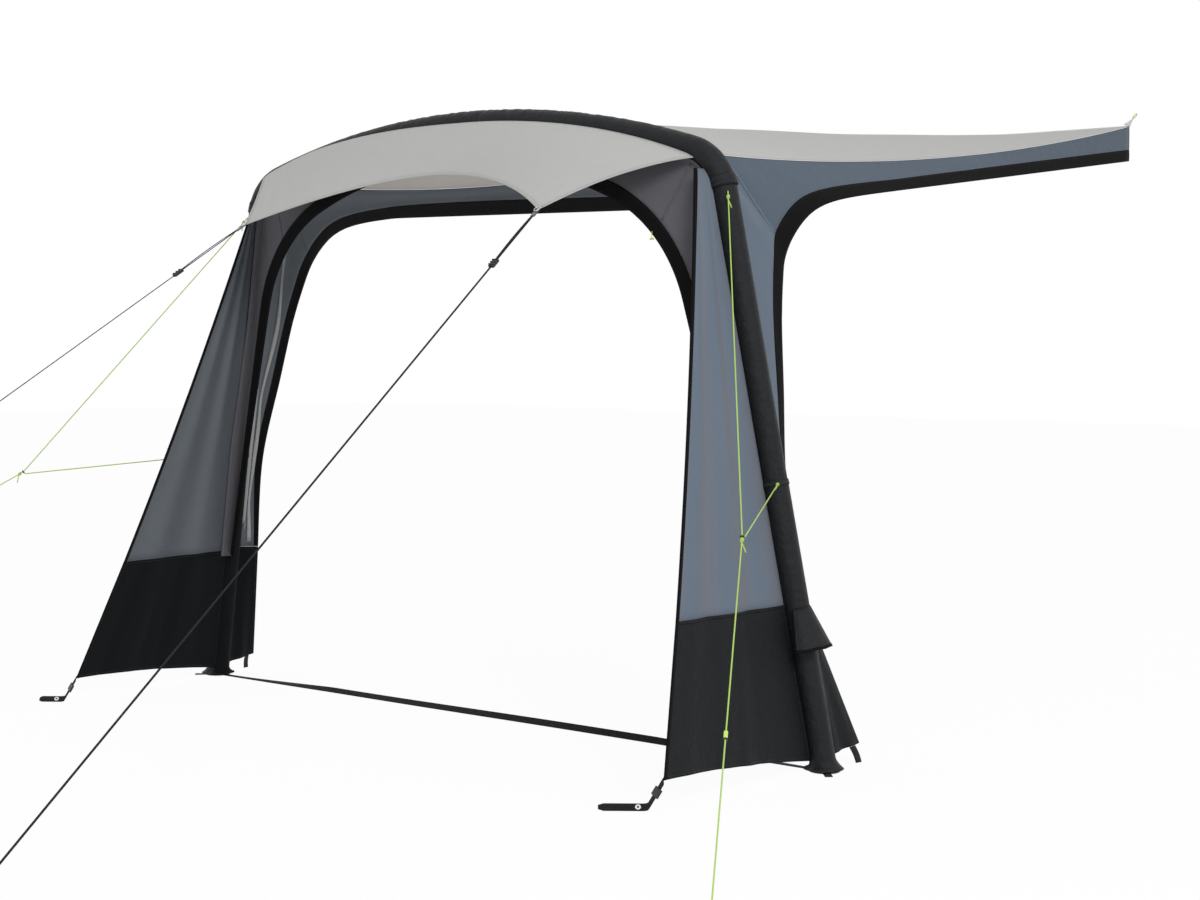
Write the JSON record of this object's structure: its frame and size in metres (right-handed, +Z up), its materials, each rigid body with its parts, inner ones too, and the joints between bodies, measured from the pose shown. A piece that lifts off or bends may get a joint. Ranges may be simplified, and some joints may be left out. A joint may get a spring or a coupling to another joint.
{
  "type": "inflatable campervan awning",
  "caption": "Open canopy for a campervan: an inflated arch in zipped sleeves holds a roof that runs back to the van's rail, with a visor, wings, side walls, storm straps and guy lines.",
  "frame": {"origin": "on the ground midway between the arch's feet, on the underside of the ground strap", "axes": "+X along the van, to the right as seen from the open front; +Y back towards the van's rail; +Z up"},
  "size_m": [4.8594, 5.9652, 2.3743],
  "materials": {
    "light_grey_cloth": "matte coated polyester",
    "blue_grey_cloth": "matte coated polyester",
    "black_cloth": "matte coated polyester",
    "webbing": "woven webbing",
    "black_plastic": "moulded, slightly glossy",
    "lime_cord": "braided cord",
    "lime_plastic": "moulded",
    "white_cloth": "coated cloth",
    "zip_tape": "woven tape with coil teeth",
    "bladder_film": "translucent film",
    "steel": "plated"
  },
  "bodies": {
    "awning": {"air_beam": "bladder_film", "sleeve_crown": "black_cloth", "sleeve_upper_left": "black_cloth", "sleeve_upper_right": "black_cloth", "sleeve_lower_left": "black_cloth", "sleeve_lower_right": "black_cloth", "foot_pad_left": "black_plastic", "foot_pad_right": "black_plastic", "roof_panel": "light_grey_cloth", "keder_bead": "white_cloth", "visor_panel": "light_grey_cloth", "side_wall_left": "blue_grey_cloth", "side_wall_right": "blue_grey_cloth", "side_trim_left": "black_cloth", "side_trim_right": "black_cloth", "front_wing_left": "blue_grey_cloth", "front_wing_right": "blue_grey_cloth", "front_skirt_left": "black_cloth", "front_skirt_right": "black_cloth", "rear_skirt_left": "black_cloth", "rear_skirt_right": "black_cloth", "front_fascia": "blue_grey_cloth", "front_trim": "black_cloth", "zip_tape_left": "zip_tape", "zip_tape_right": "zip_tape", "valve_body": "black_plastic", "ground_strap": "webbing", "rear_peg_tab_left": "webbing", "rear_peg_tab_right": "webbing", "peg_strap_left": "webbing", "peg_strap_right": "webbing", "peg_eyelet_left": "steel", "peg_eyelet_right": "steel", "storm_clip_left": "black_plastic", "storm_clip_right": "black_plastic", "storm_strap_left": "webbing", "storm_strap_right": "webbing", "guy_line_left": "lime_cord", "guy_line_right": "lime_cord", "guy_ring_left": "black_plastic", "guy_ring_right": "black_plastic", "guy_branch_left": "lime_cord", "guy_branch_right": "lime_cord", "corner_tab_left": "white_cloth", "corner_tab_right": "white_cloth", "corner_loop_left": "lime_cord", "corner_loop_right": "lime_cord"},
    "zip_slider_left": {"zip_slider_left": "steel"},
    "zip_slider_right": {"zip_slider_right": "steel"},
    "peg_buckle_left": {"peg_buckle_left": "black_plastic"},
    "peg_buckle_right": {"peg_buckle_right": "black_plastic"},
    "storm_buckle_left": {"storm_buckle_left": "black_plastic"},
    "storm_buckle_right": {"storm_buckle_right": "black_plastic"},
    "guy_runner_left": {"guy_runner_left": "lime_plastic"},
    "guy_runner_right": {"guy_runner_right": "lime_plastic"},
    "valve_cap": {"valve_cap": "black_plastic"},
    "valve_plunger": {"valve_plunger": "black_plastic"},
    "valve_hood": {"valve_hood": "black_cloth"}
  },
  "joints": [
    {"name": "zip_left", "type": "slide", "parent": "awning", "child": "zip_slider_left", "axis": [0.1774, -0.0244, 0.9838], "range_m": [0, 0.52]},
    {"name": "zip_right", "type": "slide", "parent": "awning", "child": "zip_slider_right", "axis": [-0.1774, -0.0244, 0.9838], "range_m": [0, 0.52]},
    {"name": "peg_buckle_left_slide", "type": "slide", "parent": "awning", "child": "peg_buckle_left", "axis": [-0.4039, -0.3093, -0.8609], "range_m": [-0.012, 0.016]},
    {"name": "peg_buckle_right_slide", "type": "slide", "parent": "awning", "child": "peg_buckle_right", "axis": [-0.4029, -0.3103, -0.861], "range_m": [-0.012, 0.016]},
    {"name": "storm_buckle_left_slide", "type": "slide", "parent": "awning", "child": "storm_buckle_left", "axis": [-0.1471, -0.8191, -0.5546], "range_m": [-0.2, 0.9]},
    {"name": "storm_buckle_right_slide", "type": "slide", "parent": "awning", "child": "storm_buckle_right", "axis": [0.1471, -0.8191, -0.5546], "range_m": [-0.2, 0.9]},
    {"name": "guy_runner_left_slide", "type": "slide", "parent": "awning", "child": "guy_runner_left", "axis": [-0.4469, -0.7453, -0.4948], "range_m": [-0.75, 0.75]},
    {"name": "guy_runner_right_slide", "type": "slide", "parent": "awning", "child": "guy_runner_right", "axis": [0.4519, -0.7538, -0.477], "range_m": [-0.75, 0.75]},
    {"name": "valve_cap_turn", "type": "hinge", "parent": "awning", "child": "valve_cap", "pos_m": [1.41299, -0.01948, 0.44255], "axis": [0.9829, -0.0081, 0.1841], "range_deg": [0, 90]},
    {"name": "valve_plunger_press", "type": "slide", "parent": "awning", "child": "valve_plunger", "axis": [-0.9829, 0.0081, -0.1841], "range_m": [0, 0.004], "stiffness_N_per_m": 150, "springref_m": -0.003},
    {"name": "valve_hood_lift", "type": "hinge", "parent": "awning", "child": "valve_hood", "pos_m": [1.39804, -0.02322, 0.52765], "axis": [0, -0.999, -0.044], "range_deg": [0, 75]}
  ]
}
